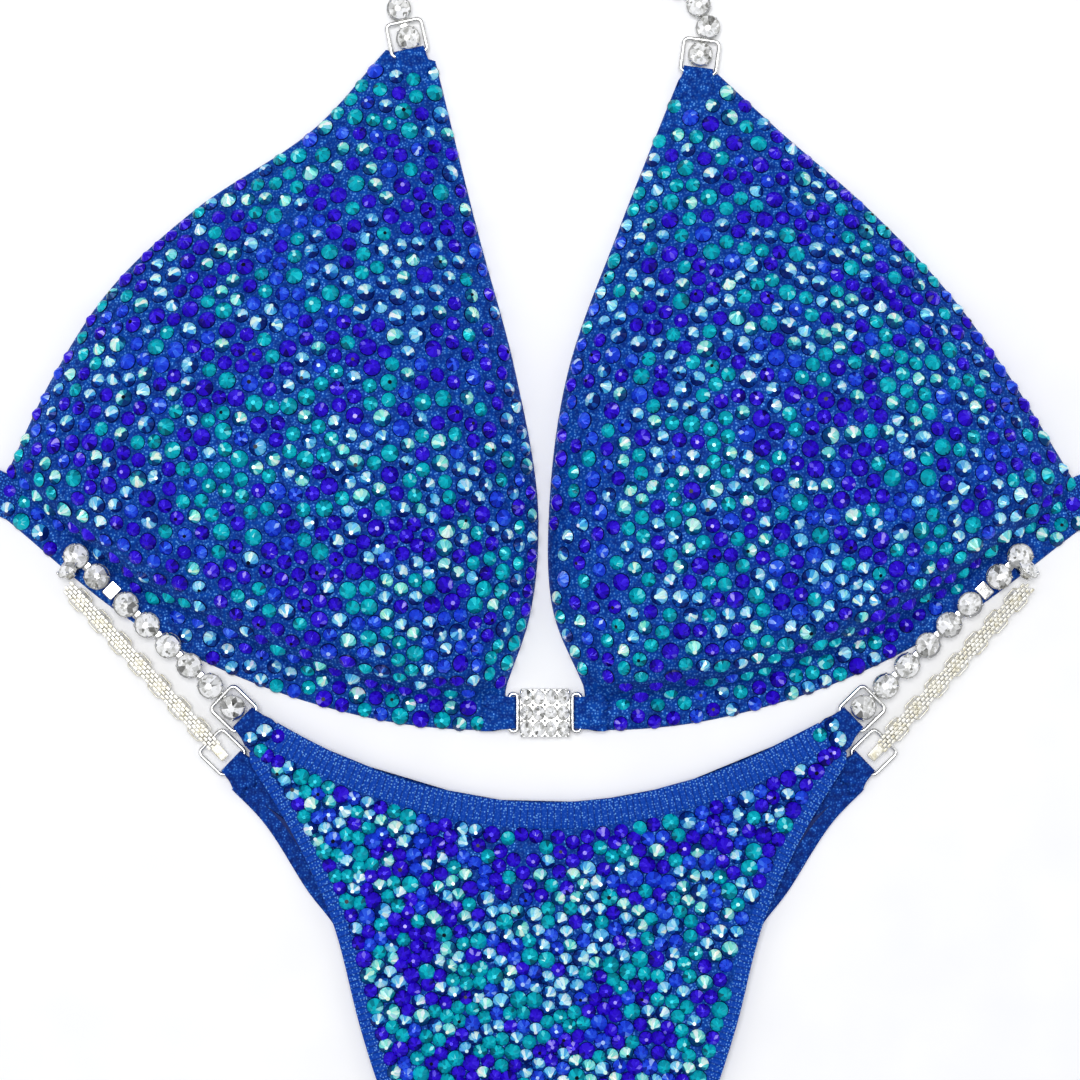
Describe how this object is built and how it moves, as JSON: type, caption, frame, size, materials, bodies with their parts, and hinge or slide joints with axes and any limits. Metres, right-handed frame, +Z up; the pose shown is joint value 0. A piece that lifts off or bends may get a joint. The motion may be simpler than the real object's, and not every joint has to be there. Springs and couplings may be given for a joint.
{
  "type": "posing bikini",
  "caption": "Posing bikini laid flat: padded triangle top with a jewelled centre connector, neck chains and back straps, and a scooped bottom hung on hip chains.",
  "frame": {"origin": "middle of the footprint, on the surface that the pieces lie on", "axes": "+X to the right across both cups, +Y towards the neck, +Z up off the table"},
  "size_m": [0.6241, 0.5646, 0.025],
  "materials": {
    "knit": "foil-dotted stretch knit",
    "lining": "smooth matt stretch lining",
    "foam": "moulded foam",
    "silver": "bright rhodium plate",
    "crystal": "foil-backed cut glass"
  },
  "bodies": {
    "bottom": {"front_waist_hem": "knit", "front_panel": "knit", "front_leg_hem_right": "knit", "front_leg_hem_left": "knit", "front_lining": "lining", "back_waist_hem": "knit", "back_panel": "knit", "back_leg_hem_right": "knit", "back_leg_hem_left": "knit", "back_lining": "lining", "gusset": "lining", "crotch_seam": "knit", "left_front_hip_casing": "knit", "left_back_hip_casing": "knit", "right_front_hip_casing": "knit", "right_back_hip_casing": "knit"},
    "left_front_hip_ring": {"left_front_hip_ring": "silver"},
    "left_front_chain": {"left_front_chain": "silver"},
    "left_back_hip_ring": {"left_back_hip_ring": "silver"},
    "left_back_chain": {"left_back_chain": "silver"},
    "right_front_hip_ring": {"right_front_hip_ring": "silver"},
    "right_front_chain": {"right_front_chain": "silver"},
    "right_back_hip_ring": {"right_back_hip_ring": "silver"},
    "right_back_chain": {"right_back_chain": "silver"},
    "centre_connector": {"connector_block": "silver", "connector_loop_left": "silver", "connector_loop_right": "silver"},
    "left_cup": {"left_cup_shell": "knit", "left_cup_pad": "foam", "left_cup_lining": "lining", "left_hem_band": "knit", "left_apex_casing": "knit", "left_centre_casing": "knit", "left_back_strap": "knit"},
    "left_back_fastener": {"back_hook": "silver"},
    "left_neck_ring": {"left_neck_ring": "silver"},
    "left_neck_chain_inner": {"left_neck_chain_inner": "silver"},
    "left_neck_chain_outer": {"left_neck_chain_outer": "silver"},
    "left_neck_clasp": {"neck_hook": "silver"},
    "right_cup": {"right_cup_shell": "knit", "right_cup_pad": "foam", "right_cup_lining": "lining", "right_hem_band": "knit", "right_apex_casing": "knit", "right_centre_casing": "knit", "right_back_strap": "knit"},
    "right_back_fastener": {"back_eye": "silver"},
    "right_neck_ring": {"right_neck_ring": "silver"},
    "right_neck_chain_inner": {"right_neck_chain_inner": "silver"},
    "right_neck_chain_outer": {"right_neck_chain_outer": "silver"},
    "right_neck_clasp": {"neck_eye": "silver"}
  },
  "joints": [
    {"name": "left_cup_fold", "type": "hinge", "parent": "centre_connector", "child": "left_cup", "pos_m": [-0.00543, -0.08969, 0.00172], "axis": [0, -1, 0], "range_deg": [0, 90]},
    {"name": "left_neck_ring_swing", "type": "hinge", "parent": "left_cup", "child": "left_neck_ring", "pos_m": [-0.03514, 0.10739, 0.00172], "axis": [0.9769, 0.2139, 0], "range_deg": [0, 90]},
    {"name": "left_neck_chain_swing", "type": "hinge", "parent": "left_neck_ring", "child": "left_neck_chain_inner", "pos_m": [-0.03728, 0.11713, 0.00172], "axis": [0.9769, 0.2139, 0], "range_deg": [0, 45]},
    {"name": "left_neck_chain_bend", "type": "hinge", "parent": "left_neck_chain_inner", "child": "left_neck_chain_outer", "pos_m": [-0.00279, 0.18258, 0.0004], "axis": [-1, 0, 0], "range_deg": [-20, 80]},
    {"name": "left_neck_clasp_swing", "type": "hinge", "parent": "left_neck_chain_outer", "child": "left_neck_clasp", "pos_m": [-0.00279, 0.26333, 0.00172], "axis": [1, 0, 0], "range_deg": [0, 60]},
    {"name": "left_back_fastener_swing", "type": "hinge", "parent": "left_cup", "child": "left_back_fastener", "pos_m": [-0.29343, 0.03595, 0.00172], "axis": [0.4067, 0.9135, 0], "range_deg": [0, 90]},
    {"name": "right_cup_fold", "type": "hinge", "parent": "centre_connector", "child": "right_cup", "pos_m": [0.01577, -0.08969, 0.00172], "axis": [0, 1, 0], "range_deg": [0, 90]},
    {"name": "right_neck_ring_swing", "type": "hinge", "parent": "right_cup", "child": "right_neck_ring", "pos_m": [0.05087, 0.10181, 0.00172], "axis": [0.9911, -0.1329, 0], "range_deg": [0, 90]},
    {"name": "right_neck_chain_swing", "type": "hinge", "parent": "right_neck_ring", "child": "right_neck_chain_inner", "pos_m": [0.0522, 0.11169, 0.00172], "axis": [0.9911, -0.1329, 0], "range_deg": [0, 45]},
    {"name": "right_neck_chain_bend", "type": "hinge", "parent": "right_neck_chain_inner", "child": "right_neck_chain_outer", "pos_m": [0.01298, 0.17637, 0.0004], "axis": [-1, 0, 0], "range_deg": [-20, 80]},
    {"name": "right_neck_clasp_swing", "type": "hinge", "parent": "right_neck_chain_outer", "child": "right_neck_clasp", "pos_m": [0.01298, 0.25712, 0.00172], "axis": [1, 0, 0], "range_deg": [0, 60]},
    {"name": "right_back_fastener_swing", "type": "hinge", "parent": "right_cup", "child": "right_back_fastener", "pos_m": [0.30106, 0.03538, 0.00172], "axis": [0.4067, -0.9135, 0], "range_deg": [0, 90]},
    {"name": "bottom_lift", "type": "slide", "parent": "centre_connector", "child": "bottom", "axis": [0, 0, 1], "range_m": [0, 0.15]},
    {"name": "left_front_ring_swing", "type": "hinge", "parent": "bottom", "child": "left_front_hip_ring", "pos_m": [-0.08393, -0.092, 0.00385], "axis": [0.6947, 0.7193, 0], "range_deg": [0, 90]},
    {"name": "left_front_chain_swing", "type": "hinge", "parent": "left_front_hip_ring", "child": "left_front_chain", "pos_m": [-0.09139, -0.08479, 0.00385], "axis": [0.6947, 0.7193, 0], "range_deg": [0, 60]},
    {"name": "left_back_ring_swing", "type": "hinge", "parent": "bottom", "child": "left_back_hip_ring", "pos_m": [-0.08766, -0.10521, 0.00172], "axis": [0.6947, 0.7193, 0], "range_deg": [0, 90]},
    {"name": "left_back_chain_swing", "type": "hinge", "parent": "left_back_hip_ring", "child": "left_back_chain", "pos_m": [-0.09512, -0.09801, 0.00172], "axis": [0.7361, 0.6769, 0], "range_deg": [0, 60]},
    {"name": "right_front_ring_swing", "type": "hinge", "parent": "bottom", "child": "right_front_hip_ring", "pos_m": [0.09607, -0.092, 0.00385], "axis": [0.6947, -0.7193, 0], "range_deg": [0, 90]},
    {"name": "right_front_chain_swing", "type": "hinge", "parent": "right_front_hip_ring", "child": "right_front_chain", "pos_m": [0.10352, -0.08479, 0.00385], "axis": [0.6947, -0.7193, 0], "range_deg": [0, 60]},
    {"name": "right_back_ring_swing", "type": "hinge", "parent": "bottom", "child": "right_back_hip_ring", "pos_m": [0.0998, -0.10521, 0.00172], "axis": [0.6947, -0.7193, 0], "range_deg": [0, 90]},
    {"name": "right_back_chain_swing", "type": "hinge", "parent": "right_back_hip_ring", "child": "right_back_chain", "pos_m": [0.10725, -0.09801, 0.00172], "axis": [0.7361, -0.6769, 0], "range_deg": [0, 60]}
  ],
  "couplings": [
    {"joint": "left_back_ring_swing", "follows": "left_front_ring_swing", "ratio": 1},
    {"joint": "left_back_chain_swing", "follows": "left_front_chain_swing", "ratio": 1},
    {"joint": "right_back_ring_swing", "follows": "right_front_ring_swing", "ratio": 1},
    {"joint": "right_back_chain_swing", "follows": "right_front_chain_swing", "ratio": 1}
  ]
}
